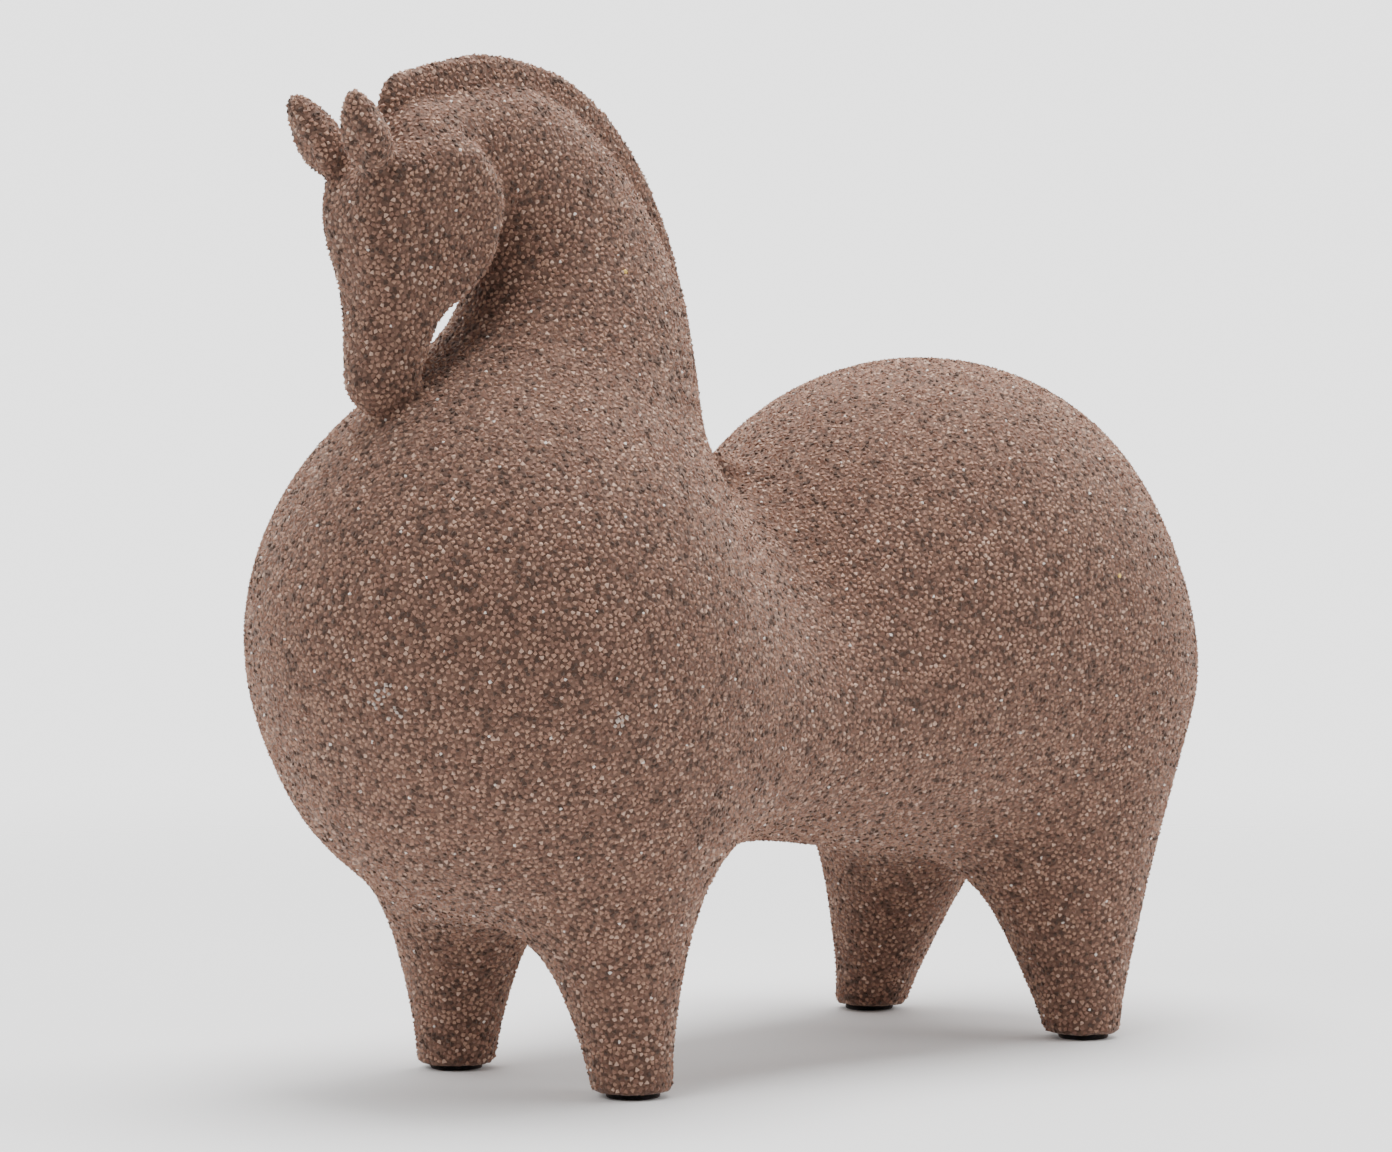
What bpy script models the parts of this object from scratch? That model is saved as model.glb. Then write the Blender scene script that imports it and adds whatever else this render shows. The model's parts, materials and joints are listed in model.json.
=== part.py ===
"""A standing horse figure: one sand-coated casting on four round felt pads.

The casting is a smooth union of round masses, symmetric about the plane X = 0. The horse looks
along -Y, and the pads stand on Z = 0. Lengths are in metres, and the origin is at the middle of
the figure's footprint.
"""

from __future__ import annotations

import math
from dataclasses import dataclass, field

import bmesh
import bpy
import numpy as np
from mathutils import Matrix, Vector

# Felt pads
PAD_DIAMETER = 0.0130
PAD_THICKNESS = 0.0012
PAD_EDGE_ROUND = 0.0003
PAD_SIDES = 30
CLEARANCE = 0.0003

# Chest, waist and rump: half sizes, and the height of each centre over the ground
CHEST_HALF_WIDTH = 0.0595
CHEST_HALF_LENGTH = 0.0619
CHEST_HALF_HEIGHT = 0.0652
CHEST_HEIGHT = 0.1091
RUMP_HALF_WIDTH = 0.0610
RUMP_HALF_LENGTH = 0.0705
RUMP_HALF_HEIGHT = 0.0614
RUMP_HEIGHT = 0.1152
CHEST_TO_RUMP = 0.1448
WAIST_HALF_WIDTH = 0.0450
WAIST_HALF_LENGTH = 0.0807
WAIST_HALF_HEIGHT = 0.0245
WAIST_HEIGHT = 0.0843
CHEST_TO_WAIST = 0.0726
WAIST_BLEND = 0.0620

# Legs: each tapers from a wide top inside the body to its foot
FORE_FOOT_RADIUS = 0.0079
FORE_FOOT_SPREAD = 0.0325
FORE_FOOT_SETBACK = 0.0131
FORE_TOP_RADIUS = 0.0220
FORE_TOP_SPREAD = 0.0265
FORE_TOP_SETBACK = 0.0103
FORE_TOP_HEIGHT = 0.0647
HIND_FOOT_RADIUS = 0.0074
HIND_FOOT_SPREAD = 0.0390
HIND_FOOT_SETBACK = 0.0212
HIND_TOP_RADIUS = 0.0345
HIND_TOP_SPREAD = 0.0221
HIND_TOP_SETBACK = 0.0252
HIND_TOP_HEIGHT = 0.0906
LEG_BLEND = 0.0340
HIND_LEG_BLEND = 0.0370
HIND_LEG_SKEW = 0.08
HOOF_RADIUS = 0.0093
HOOF_HEIGHT = 0.0060
HOOF_BLEND = 0.0040
SOLE_ROUND = 0.0018
SOLE_TRIM = 0.0002

# Neck: stations from the chest to the poll, as (behind the chest's centre, over it, radius)
NECK_COURSE = (
    (0.0113, 0.0400, 0.0121),
    (0.0251, 0.0700, 0.0270),
    (0.0202, 0.0940, 0.0244),
    (0.0034, 0.1121, 0.0196),
    (-0.0229, 0.1117, 0.0157),
)
NECK_ROOT_FLATNESS = 0.87
NECK_POLL_FLATNESS = 0.64
NECK_FLATTENS_FROM = 0.0580
NECK_FLATTENS_TO = 0.1040
NECK_BLEND = 0.0500

# Head: a rounded slab with a round cheek and a jaw tapering to the muzzle, placed from the poll
CHEEK_RADIUS = 0.0197
CHEEK_AHEAD = 0.0054
CHEEK_BELOW = 0.0127
JAW_RADIUS = 0.0097
JAW_AHEAD = 0.0093
JAW_BELOW = 0.0178
MUZZLE_RADIUS = 0.0087
MUZZLE_AHEAD = 0.0148
MUZZLE_BELOW = 0.0502
JAW_BLEND = 0.0140
HEAD_HALF_WIDTH = 0.0141
MUZZLE_HALF_WIDTH = 0.0086
BROW_NARROWING = 0.0021
HEAD_EDGE_ROUND = 0.0070
CHEEK_EDGE_ROUND = 0.0030
CHEEK_EDGE_SHARE = (-0.7, 0.3)
HEAD_RISE = (-0.3, 1.3)
THROAT_BLEND = 0.0030
POLL_BLEND = 0.0180
THROAT_BLEND_ENDS = 0.0010
POLL_BLEND_STARTS = 0.0130

# Ears: hollow leaves on the brow, placed from the poll
EAR_ROOT_SPREAD = 0.0079
EAR_ROOT_AHEAD = 0.0231
EAR_ROOT_ABOVE = 0.0012
EAR_LENGTH = 0.0180
EAR_LEAN_OUT = math.radians(12.0)
EAR_LEAN_AHEAD = math.radians(30.5)
EAR_TURN_OUT = math.radians(9.0)
EAR_HALF_WIDTH = 0.0054
EAR_HALF_THICKNESS = 0.0057
EAR_TAPER = 0.34
EAR_TAPER_ENDS = -0.45
EAR_MIDDLE = 0.39
EAR_HALF_HEIGHT = 0.60
EAR_WALL = 0.0014
EAR_END_WALL = 0.0030
EAR_HOLLOW_DEPTH = 0.0068
EAR_RIM_ROUND = 0.0008
EAR_BLEND = 0.0042

# Mane: a thin upright fin on the crest, as (behind the chest's centre, over it)
MANE_COURSE = (
    (-0.0296, 0.1260),
    (-0.0052, 0.1311),
    (0.0209, 0.1256),
    (0.0408, 0.1060),
    (0.0524, 0.0787),
    (0.0594, 0.0430),
)
MANE_RADIUS = 0.0083
MANE_HALF_THICKNESS = 0.0026
MANE_BLEND = 0.0020

# Tail: a low ridge laid on the rump
TAIL_RISE = 0.0040
TAIL_RADIUS = 0.0085
TAIL_HALF_THICKNESS = 0.0040
TAIL_START = math.radians(38.0)
TAIL_END = math.radians(-14.0)
TAIL_STATIONS = 6
TAIL_BLEND = 0.0050
RIDGE_REACH = 0.0150

# Meshing
ROUGH_VOXEL = 0.0024
ROUGH_REACHES = (0.0080, 0.0060, 0.0040, 0.0020, 0.0010)
SKIN_VOXEL = 0.0014
SKIN_REACHES = (0.0010, 0.0005)
SKIN_TRIANGLES = 8800
ROUGH_SADDLE = 0.72
ROUGH_ROOT = 0.0150
COURSE_STEPS = 3
SPHERE_SEGMENTS = 32
SPHERE_RINGS = 16
GRADIENT_STEP = 1.0e-5

Array = np.ndarray


def smooth_union(first: Array, second: Array, blend: float | Array) -> Array:
    """Joins two distance fields with a cubic fillet that is as wide as the blend."""
    overlap = np.maximum(blend - np.abs(first - second), 0.0) / blend
    return np.minimum(first, second) - overlap**3 * blend / 6.0


def smooth_intersection(first: Array, second: Array, blend: float) -> Array:
    """Keeps what lies in both distance fields, with a rounded edge."""
    return -smooth_union(-first, -second, blend)


def ramp(values: Array, start: float, end: float) -> Array:
    """Rises smoothly from 0 at the start to 1 at the end."""
    share = np.clip((values - start) / (end - start), 0.0, 1.0)
    return share * share * (3.0 - 2.0 * share)


def ellipsoid_distance(points: Array, half_sizes: Array) -> Array:
    """Approximate distance to an ellipsoid that is centred on the origin."""
    scaled = points / half_sizes
    radial = np.linalg.norm(scaled, axis=-1)
    slope = np.linalg.norm(scaled / half_sizes, axis=-1)
    return radial * (radial - 1.0) / np.maximum(slope, GRADIENT_STEP)


def taper_distance(points: Array, start: Array, end: Array, start_radius: float, end_radius: float) -> Array:
    """Distance to the hull of two balls."""
    axis = end - start
    length_squared = axis @ axis
    shrink = start_radius - end_radius
    flank_squared = length_squared - shrink * shrink
    relative = points - start
    along = relative @ axis
    beyond = along - length_squared
    across = ((relative * length_squared - along[..., None] * axis) ** 2).sum(-1)
    along_squared = along * along * length_squared
    beyond_squared = beyond * beyond * length_squared
    limit = math.copysign(1.0, shrink) * shrink * shrink * across
    flank = (np.sqrt(across * flank_squared / length_squared) + along * shrink) / length_squared
    distance = flank - start_radius
    near_start = np.sign(along) * flank_squared * along_squared < limit
    near_end = np.sign(beyond) * flank_squared * beyond_squared > limit
    distance = np.where(near_start, np.sqrt(across + along_squared) / length_squared - start_radius, distance)
    return np.where(near_end, np.sqrt(across + beyond_squared) / length_squared - end_radius, distance)


def smooth_course(stations: tuple[tuple[float, ...], ...]) -> Array:
    """Catmull-Rom rows through the stations, with the ends kept."""
    rows = np.array(stations)
    rows = np.vstack([2.0 * rows[0] - rows[1], rows, 2.0 * rows[-1] - rows[-2]])
    course = []
    for before, here, after, last in zip(rows, rows[1:], rows[2:], rows[3:]):
        for step in range(COURSE_STEPS):
            share = step / COURSE_STEPS
            linear = (after - before) * share
            square = (2.0 * before - 5.0 * here + 4.0 * after - last) * share**2
            cube = (3.0 * here - before - 3.0 * after + last) * share**3
            course.append(0.5 * (2.0 * here + linear + square + cube))
    course.append(rows[-2])
    return np.array(course)


@dataclass(frozen=True)
class Ball:
    """An ellipsoid on the mid-plane."""

    centre: Vector
    half_sizes: Vector

    def distance(self, points: Array) -> Array:
        return ellipsoid_distance(points - np.array(self.centre), np.array(self.half_sizes))

    def add_to(self, rough: bmesh.types.BMesh) -> None:
        """Adds the ellipsoid to the rough mesh."""
        place = Matrix.Translation(self.centre) @ Matrix.Diagonal((*self.half_sizes, 1.0))
        bmesh.ops.create_uvsphere(
            rough, u_segments=SPHERE_SEGMENTS, v_segments=SPHERE_RINGS, radius=1.0, matrix=place
        )


@dataclass(frozen=True)
class Taper:
    """A straight run between two balls, with its mirror image if it stands off the mid-plane."""

    start: Vector
    end: Vector
    start_radius: float
    end_radius: float

    def distance(self, points: Array) -> Array:
        return taper_distance(
            points, np.array(self.start), np.array(self.end), self.start_radius, self.end_radius
        )

    def add_to(self, rough: bmesh.types.BMesh, flatness: float = 1.0) -> None:
        """Adds the two balls and the cone between them, squeezed across by the flatness."""
        axis = self.end - self.start
        turn = axis.to_track_quat("Z", "Y").to_matrix().to_4x4()
        for side in (1.0, -1.0) if self.start.x else (1.0,):
            squeeze = Matrix.Diagonal((side * flatness, 1.0, 1.0, 1.0))
            for centre, radius in ((self.start, self.start_radius), (self.end, self.end_radius)):
                bmesh.ops.create_uvsphere(
                    rough,
                    u_segments=SPHERE_SEGMENTS,
                    v_segments=SPHERE_RINGS,
                    radius=radius,
                    matrix=squeeze @ Matrix.Translation(centre),
                )
            bmesh.ops.create_cone(
                rough,
                cap_ends=True,
                segments=SPHERE_SEGMENTS,
                radius1=self.start_radius,
                radius2=self.end_radius,
                depth=axis.length,
                matrix=squeeze @ Matrix.Translation(self.start.lerp(self.end, 0.5)) @ turn,
            )


@dataclass(frozen=True)
class Strand:
    """A bent run of tapers on the mid-plane, squeezed across."""

    course: Array
    flatness: float

    def tapers(self) -> list[Taper]:
        """The straight runs between neighbouring stations of the course."""
        return [
            Taper(Vector((0.0, *start[:2])), Vector((0.0, *end[:2])), float(start[2]), float(end[2]))
            for start, end in zip(self.course, self.course[1:])
        ]

    def distance(self, points: Array, reach: float, flatness: Array | None = None) -> Array:
        """Distance to the strand for the points within reach of it, and the reach for the rest.

        The flatness may change from point to point.
        """
        widest = self.course[:, 2].max() + reach
        low = self.course[:, :2].min(axis=0) - widest
        high = self.course[:, :2].max(axis=0) + widest
        near = ((points[:, 1:] > low) & (points[:, 1:] < high)).all(axis=1)
        squeeze = self.flatness if flatness is None else flatness[near]
        stretched = points[near]
        stretched[:, 0] /= squeeze
        nearest = np.full(len(points), reach)
        tapers = [taper.distance(stretched) for taper in self.tapers()]
        nearest[near] = np.min(tapers, axis=0) * np.minimum(squeeze, 1.0)
        return nearest

    def add_to(self, rough: bmesh.types.BMesh) -> None:
        for taper in self.tapers():
            taper.add_to(rough, self.flatness)


@dataclass(frozen=True)
class Head:
    """The head: a side profile of cheek and jaw, as thick as the head is wide, with round edges."""

    poll: Vector

    @property
    def cheek(self) -> Vector:
        return self.poll + Vector((0.0, -CHEEK_AHEAD, -CHEEK_BELOW))

    @property
    def jaw(self) -> Taper:
        start = self.poll + Vector((0.0, -JAW_AHEAD, -JAW_BELOW))
        end = self.poll + Vector((0.0, -MUZZLE_AHEAD, -MUZZLE_BELOW))
        return Taper(start, end, JAW_RADIUS, MUZZLE_RADIUS)

    def distance(self, points: Array) -> Array:
        flat = points * np.array((0.0, 1.0, 1.0))
        cheek = np.linalg.norm(flat - np.array(self.cheek), axis=-1) - CHEEK_RADIUS
        profile = smooth_union(cheek, self.jaw.distance(flat), JAW_BLEND)
        rise = (points[:, 2] - self.jaw.end.z) / (self.cheek.z - self.jaw.end.z)
        ahead = (self.cheek.y - points[:, 1]) / CHEEK_RADIUS
        half_width = MUZZLE_HALF_WIDTH + (HEAD_HALF_WIDTH - MUZZLE_HALF_WIDTH) * np.clip(rise, *HEAD_RISE)
        half_width = half_width - BROW_NARROWING * np.clip(ahead, 0.0, 1.0)
        edge = CHEEK_EDGE_ROUND + (HEAD_EDGE_ROUND - CHEEK_EDGE_ROUND) * ramp(ahead, *CHEEK_EDGE_SHARE)
        past_profile = profile + edge
        past_side = points[:, 0] - half_width + edge
        outside = np.hypot(np.maximum(past_profile, 0.0), np.maximum(past_side, 0.0))
        inside = np.minimum(np.maximum(past_profile, past_side), 0.0)
        return outside + inside - edge

    def add_to(self, rough: bmesh.types.BMesh) -> None:
        Ball(self.cheek, Vector((HEAD_HALF_WIDTH, CHEEK_RADIUS, CHEEK_RADIUS))).add_to(rough)
        self.jaw.add_to(rough)


@dataclass(frozen=True)
class Ear:
    """A pointed leaf with a hollow that faces ahead, and its mirror image."""

    root: Vector

    @property
    def axes(self) -> Matrix:
        """Columns that run across the leaf, out of its hollow and up to its tip."""
        tip = Vector((math.tan(EAR_LEAN_OUT), -math.tan(EAR_LEAN_AHEAD), 1.0)).normalized()
        hollow = Vector((math.sin(EAR_TURN_OUT), -math.cos(EAR_TURN_OUT), 0.0))
        hollow = (hollow - tip * hollow.dot(tip)).normalized()
        return Matrix((hollow.cross(tip), hollow, tip)).transposed()

    @property
    def leaf_half_sizes(self) -> Vector:
        return Vector((EAR_HALF_WIDTH, EAR_HALF_THICKNESS, EAR_HALF_HEIGHT * EAR_LENGTH))

    def distance(self, points: Array) -> Array:
        local = (points - np.array(self.root)) @ np.array(self.axes)
        middle = local - np.array((0.0, 0.0, EAR_MIDDLE * EAR_LENGTH))
        leaf_half = np.array(self.leaf_half_sizes)
        slimming = 1.0 - EAR_TAPER * np.clip(middle[:, 2:] / leaf_half[2], EAR_TAPER_ENDS, 1.0)
        middle[:, :2] /= slimming
        leaf = ellipsoid_distance(middle, leaf_half)
        scoop_half = np.array((leaf_half[0] - EAR_WALL, EAR_HOLLOW_DEPTH, leaf_half[2] - EAR_END_WALL))
        scoop = middle - np.array((0.0, leaf_half[1], 0.0))
        hollowed = smooth_intersection(leaf, -ellipsoid_distance(scoop, scoop_half), EAR_RIM_ROUND)
        return hollowed * np.minimum(slimming[:, 0], 1.0)

    def add_to(self, rough: bmesh.types.BMesh) -> None:
        """Adds both leaves, still without their hollows."""
        middle = self.root + self.axes.col[2] * EAR_MIDDLE * EAR_LENGTH
        shape = self.axes.to_4x4() @ Matrix.Diagonal((*self.leaf_half_sizes, 1.0))
        for side in (1.0, -1.0):
            mirror = Matrix.Diagonal((side, 1.0, 1.0, 1.0))
            bmesh.ops.create_uvsphere(
                rough,
                u_segments=SPHERE_SEGMENTS,
                v_segments=SPHERE_RINGS,
                radius=1.0,
                matrix=mirror @ Matrix.Translation(middle) @ shape,
            )


@dataclass(frozen=True)
class Horse:
    """The whole casting, as named masses that melt into each other."""

    chest: Ball = field(init=False)
    waist: Ball = field(init=False)
    rump: Ball = field(init=False)
    fore_leg: Taper = field(init=False)
    hind_leg: Taper = field(init=False)
    neck: Strand = field(init=False)
    head: Head = field(init=False)
    ear: Ear = field(init=False)
    mane: Strand = field(init=False)
    tail: Strand = field(init=False)

    def __post_init__(self) -> None:
        """Places every mass from the named sizes, with the chest's centre as the start."""
        chest = Vector((0.0, -0.5 * CHEST_TO_RUMP, CHEST_HEIGHT))
        waist = Vector((0.0, chest.y + CHEST_TO_WAIST, WAIST_HEIGHT))
        rump = Vector((0.0, chest.y + CHEST_TO_RUMP, RUMP_HEIGHT))
        chest_half = Vector((CHEST_HALF_WIDTH, CHEST_HALF_LENGTH, CHEST_HALF_HEIGHT))
        waist_half = Vector((WAIST_HALF_WIDTH, WAIST_HALF_LENGTH, WAIST_HALF_HEIGHT))
        rump_half = Vector((RUMP_HALF_WIDTH, RUMP_HALF_LENGTH, RUMP_HALF_HEIGHT))
        neck = [(chest.y + behind, chest.z + above, radius) for behind, above, radius in NECK_COURSE]
        mane = [(chest.y + behind, chest.z + above, MANE_RADIUS) for behind, above in MANE_COURSE]
        poll = Vector((0.0, *neck[-1][:2]))
        ear_root = poll + Vector((EAR_ROOT_SPREAD, -EAR_ROOT_AHEAD, EAR_ROOT_ABOVE))
        masses = {
            "chest": Ball(chest, chest_half),
            "waist": Ball(waist, waist_half),
            "rump": Ball(rump, rump_half),
            "fore_leg": Taper(
                Vector((FORE_FOOT_SPREAD, chest.y + FORE_FOOT_SETBACK, 0.0)),
                Vector((FORE_TOP_SPREAD, chest.y + FORE_TOP_SETBACK, FORE_TOP_HEIGHT)),
                FORE_FOOT_RADIUS,
                FORE_TOP_RADIUS,
            ),
            "hind_leg": Taper(
                Vector((HIND_FOOT_SPREAD, rump.y + HIND_FOOT_SETBACK, 0.0)),
                Vector((HIND_TOP_SPREAD, rump.y + HIND_TOP_SETBACK, HIND_TOP_HEIGHT)),
                HIND_FOOT_RADIUS,
                HIND_TOP_RADIUS,
            ),
            "neck": Strand(smooth_course(tuple(neck)), NECK_POLL_FLATNESS),
            "head": Head(poll),
            "ear": Ear(ear_root),
            "mane": Strand(smooth_course(tuple(mane)), MANE_HALF_THICKNESS / MANE_RADIUS),
            "tail": Strand(tail_course(rump), TAIL_HALF_THICKNESS / TAIL_RADIUS),
        }
        for name, mass in masses.items():
            object.__setattr__(self, name, mass)

    def distance(self, points: Array) -> Array:
        """Distance from each point to the casting's skin, negative inside."""
        folded = np.abs(points) * (1.0, 0.0, 0.0) + points * (0.0, 1.0, 1.0)
        skin = smooth_union(self.chest.distance(folded), self.waist.distance(folded), WAIST_BLEND)
        skin = smooth_union(skin, self.rump.distance(folded), WAIST_BLEND)
        skin = smooth_union(skin, self.fore_leg.distance(folded), LEG_BLEND)
        behind_leg = folded[:, 1] - self.hind_leg.start.y
        skewed = folded - np.outer(HIND_LEG_SKEW * behind_leg, (1.0, 0.0, 0.0))
        skin = smooth_union(skin, self.hind_leg.distance(skewed), HIND_LEG_BLEND)
        for leg in (self.fore_leg, self.hind_leg):
            skin = smooth_union(skin, hoof_of(leg).distance(folded), HOOF_BLEND)
        over_chest = folded[:, 2] - self.chest.centre.z
        flattened = ramp(over_chest, NECK_FLATTENS_FROM, NECK_FLATTENS_TO)
        flatness = NECK_ROOT_FLATNESS + (NECK_POLL_FLATNESS - NECK_ROOT_FLATNESS) * flattened
        neck = self.neck.distance(folded, 2.0 * NECK_BLEND, flatness)
        skin = smooth_union(skin, neck, NECK_BLEND)
        over_poll = folded[:, 2] - self.head.poll.z
        at_poll = ramp(over_poll, THROAT_BLEND_ENDS, POLL_BLEND_STARTS)
        head_blend = THROAT_BLEND + (POLL_BLEND - THROAT_BLEND) * at_poll
        skin = smooth_union(skin, self.head.distance(folded), head_blend)
        skin = smooth_union(skin, self.mane.distance(folded, RIDGE_REACH), MANE_BLEND)
        skin = smooth_union(skin, self.tail.distance(folded, RIDGE_REACH), TAIL_BLEND)
        skin = smooth_union(skin, self.ear.distance(folded), EAR_BLEND)
        below_sole = sole_height() - SOLE_TRIM - folded[:, 2]
        return smooth_intersection(skin, below_sole, SOLE_ROUND)

    def distance_and_normals(self, points: Array) -> tuple[Array, Array]:
        """The distance to the skin at each point, and the unit slope of that distance."""
        here = self.distance(points)
        slope = np.empty_like(points)
        for axis in range(3):
            step = np.zeros(3)
            step[axis] = GRADIENT_STEP
            slope[:, axis] = self.distance(points + step) - here
        return here, slope / np.maximum(np.linalg.norm(slope, axis=1, keepdims=True), GRADIENT_STEP**2)

    def rough(self) -> bmesh.types.BMesh:
        """The masses as overlapping primitives, with the deepest fillets filled by two more balls."""
        rough = bmesh.new()
        saddle_half = 0.5 * ROUGH_SADDLE * (self.chest.half_sizes + self.rump.half_sizes)
        Ball(0.5 * (self.chest.centre + self.rump.centre), saddle_half).add_to(rough)
        root, root_radius = Vector((0.0, *self.neck.course[0, :2])), self.neck.course[0, 2] + ROUGH_ROOT
        Ball(root, Vector((root_radius, root_radius, root_radius))).add_to(rough)
        for mass in (self.chest, self.waist, self.rump, self.fore_leg, self.hind_leg):
            mass.add_to(rough)
        for mass in (self.neck, self.head, self.ear, self.mane, self.tail):
            mass.add_to(rough)
        return rough


def hoof_of(leg: Taper) -> Taper:
    """The last run of a leg, which stops tapering."""
    top = leg.start.lerp(leg.end, HOOF_HEIGHT / leg.end.z)
    return Taper(leg.start, top, HOOF_RADIUS, HOOF_RADIUS)


def tail_course(rump: Vector) -> Array:
    """Stations down the back of the rump, sunk so that the ridge rises evenly from it."""
    sunk = TAIL_RISE - TAIL_RADIUS
    angles = np.linspace(TAIL_START, TAIL_END, TAIL_STATIONS)
    along = rump.y + (RUMP_HALF_LENGTH + sunk) * np.cos(angles)
    above = rump.z + (RUMP_HALF_HEIGHT + sunk) * np.sin(angles)
    return np.column_stack([along, above, np.full(TAIL_STATIONS, TAIL_RADIUS)])


def sole_height() -> float:
    """Where the casting's feet end over the ground."""
    return PAD_THICKNESS + CLEARANCE


def new_collection(name: str) -> bpy.types.Collection:
    collection = bpy.data.collections.new(name)
    bpy.context.scene.collection.children.link(collection)
    return collection


def new_material(name: str, colour: tuple[float, float, float], roughness: float) -> bpy.types.Material:
    """A plain dielectric Principled material."""
    material = bpy.data.materials.new(name)
    material.use_nodes = True
    shader = material.node_tree.nodes["Principled BSDF"]
    shader.inputs["Base Color"].default_value = (*colour, 1.0)
    shader.inputs["Roughness"].default_value = roughness
    shader.inputs["Metallic"].default_value = 0.0
    return material


def object_from(rough: bmesh.types.BMesh, name: str, collection: bpy.types.Collection) -> bpy.types.Object:
    """Turns a bmesh into an object of the collection."""
    mesh = bpy.data.meshes.new(name)
    rough.to_mesh(mesh)
    rough.free()
    made = bpy.data.objects.new(name, mesh)
    collection.objects.link(made)
    return made


def apply_modifiers(made: bpy.types.Object) -> None:
    """Replaces the object's mesh with its evaluated one."""
    graph = bpy.context.evaluated_depsgraph_get()
    mesh = bpy.data.meshes.new_from_object(made.evaluated_get(graph))
    made.modifiers.clear()
    made.data = mesh


def draw_skin(made: bpy.types.Object, horse: Horse, voxel: float, reaches: tuple[float, ...]) -> None:
    """Fuses the mesh at one voxel size, then moves each vertex down the field's slope to the skin."""
    remesh = made.modifiers.new("Fuse", "REMESH")
    remesh.mode = "VOXEL"
    remesh.voxel_size = voxel
    apply_modifiers(made)
    mesh = made.data
    points = np.empty(len(mesh.vertices) * 3)
    mesh.vertices.foreach_get("co", points)
    points = points.reshape(-1, 3)
    for reach in reaches:
        distance, normals = horse.distance_and_normals(points)
        points -= np.clip(distance, -reach, reach)[:, None] * normals
    mesh.vertices.foreach_set("co", points.ravel())
    mesh.update()


def make_cutter(cutters: bpy.types.Collection) -> bpy.types.Object:
    """A slab whose top is the plane of the soles."""
    size = 4.0 * CHEST_TO_RUMP
    slab = bmesh.new()
    place = Matrix.Translation((0.0, 0.0, sole_height() - 0.5 * size))
    bmesh.ops.create_cube(slab, size=size, matrix=place)
    cutter = object_from(slab, "sole_cutter", cutters)
    cutter.hide_render = True
    cutter.display_type = "WIRE"
    return cutter


def make_horse(
    horse: Horse,
    parts: bpy.types.Collection,
    cutters: bpy.types.Collection,
    material: bpy.types.Material,
) -> bpy.types.Object:
    """Fuses the masses, draws the skin over their fillets and cuts the soles flat."""
    made = object_from(horse.rough(), "horse", parts)
    draw_skin(made, horse, ROUGH_VOXEL, ROUGH_REACHES)
    draw_skin(made, horse, SKIN_VOXEL, SKIN_REACHES)
    triangles = sum(len(face.vertices) - 2 for face in made.data.polygons)
    decimate = made.modifiers.new("Facets", "DECIMATE")
    decimate.ratio = min(1.0, SKIN_TRIANGLES / triangles)
    sole = made.modifiers.new("Soles", "BOOLEAN")
    sole.operation = "DIFFERENCE"
    sole.solver = "EXACT"
    sole.object = make_cutter(cutters)
    apply_modifiers(made)
    made.data.materials.clear()
    made.data.materials.append(material)
    made.data.shade_smooth()
    made.data.set_sharp_from_angle(angle=math.radians(50.0))
    return made


def make_pads(
    horse: Horse, parts: bpy.types.Collection, material: bpy.types.Material
) -> list[bpy.types.Object]:
    """One round felt pad under each foot."""
    pads = []
    feet = (("front", horse.fore_leg.start), ("hind", horse.hind_leg.start))
    for place, foot in feet:
        for side, sign in (("left", 1.0), ("right", -1.0)):
            disc = bmesh.new()
            bmesh.ops.create_cone(
                disc,
                cap_ends=True,
                segments=PAD_SIDES,
                radius1=0.5 * PAD_DIAMETER,
                radius2=0.5 * PAD_DIAMETER,
                depth=PAD_THICKNESS,
            )
            pad = object_from(disc, f"pad_{place}_{side}", parts)
            pad.location = (sign * foot.x, foot.y, 0.5 * PAD_THICKNESS)
            bevel = pad.modifiers.new("Edge", "BEVEL")
            bevel.width = PAD_EDGE_ROUND
            bevel.segments = 1
            bevel.limit_method = "ANGLE"
            pad.data.materials.append(material)
            pad.data.shade_smooth()
            pad.data.set_sharp_from_angle(angle=math.radians(30.0))
            pads.append(pad)
    return pads


def centre_on_origin(made: bpy.types.Object, pads: list[bpy.types.Object]) -> None:
    """Hangs all on an empty, moved so that the figure's middle is over the origin."""
    corners = [Vector(corner) for corner in made.bound_box]
    middle = 0.5 * (min(corner.y for corner in corners) + max(corner.y for corner in corners))
    root = bpy.data.objects.new("horse_figure_root", None)
    bpy.context.scene.collection.objects.link(root)
    root.location = (0.0, -middle, 0.0)
    for child in (made, *pads):
        child.parent = root


def main() -> None:
    """Builds the figure in a cleared scene."""
    for leftover in list(bpy.data.objects):
        bpy.data.objects.remove(leftover, do_unlink=True)
    parts = new_collection("horse_figure")
    cutters = new_collection("cutters")
    sand = new_material("sand_coat", (0.155, 0.098, 0.075), 0.95)
    felt = new_material("black_felt", (0.012, 0.011, 0.012), 0.98)
    horse = Horse()
    made = make_horse(horse, parts, cutters, sand)
    pads = make_pads(horse, parts, felt)
    centre_on_origin(made, pads)


if __name__ == "__main__":
    main()
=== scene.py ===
"""Looks of a standing horse figure with a coarse sand coat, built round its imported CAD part.

The casting becomes a fine smooth skin, and sand grains in five tones are scattered on it by
Geometry Nodes. Lengths are in metres unless a name says otherwise. The horse looks along -Y.
"""

from __future__ import annotations

import json
import logging
import math
from dataclasses import dataclass, replace
from enum import Enum
from typing import Any

import bmesh
import bpy
from mathutils import Matrix, Vector

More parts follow.
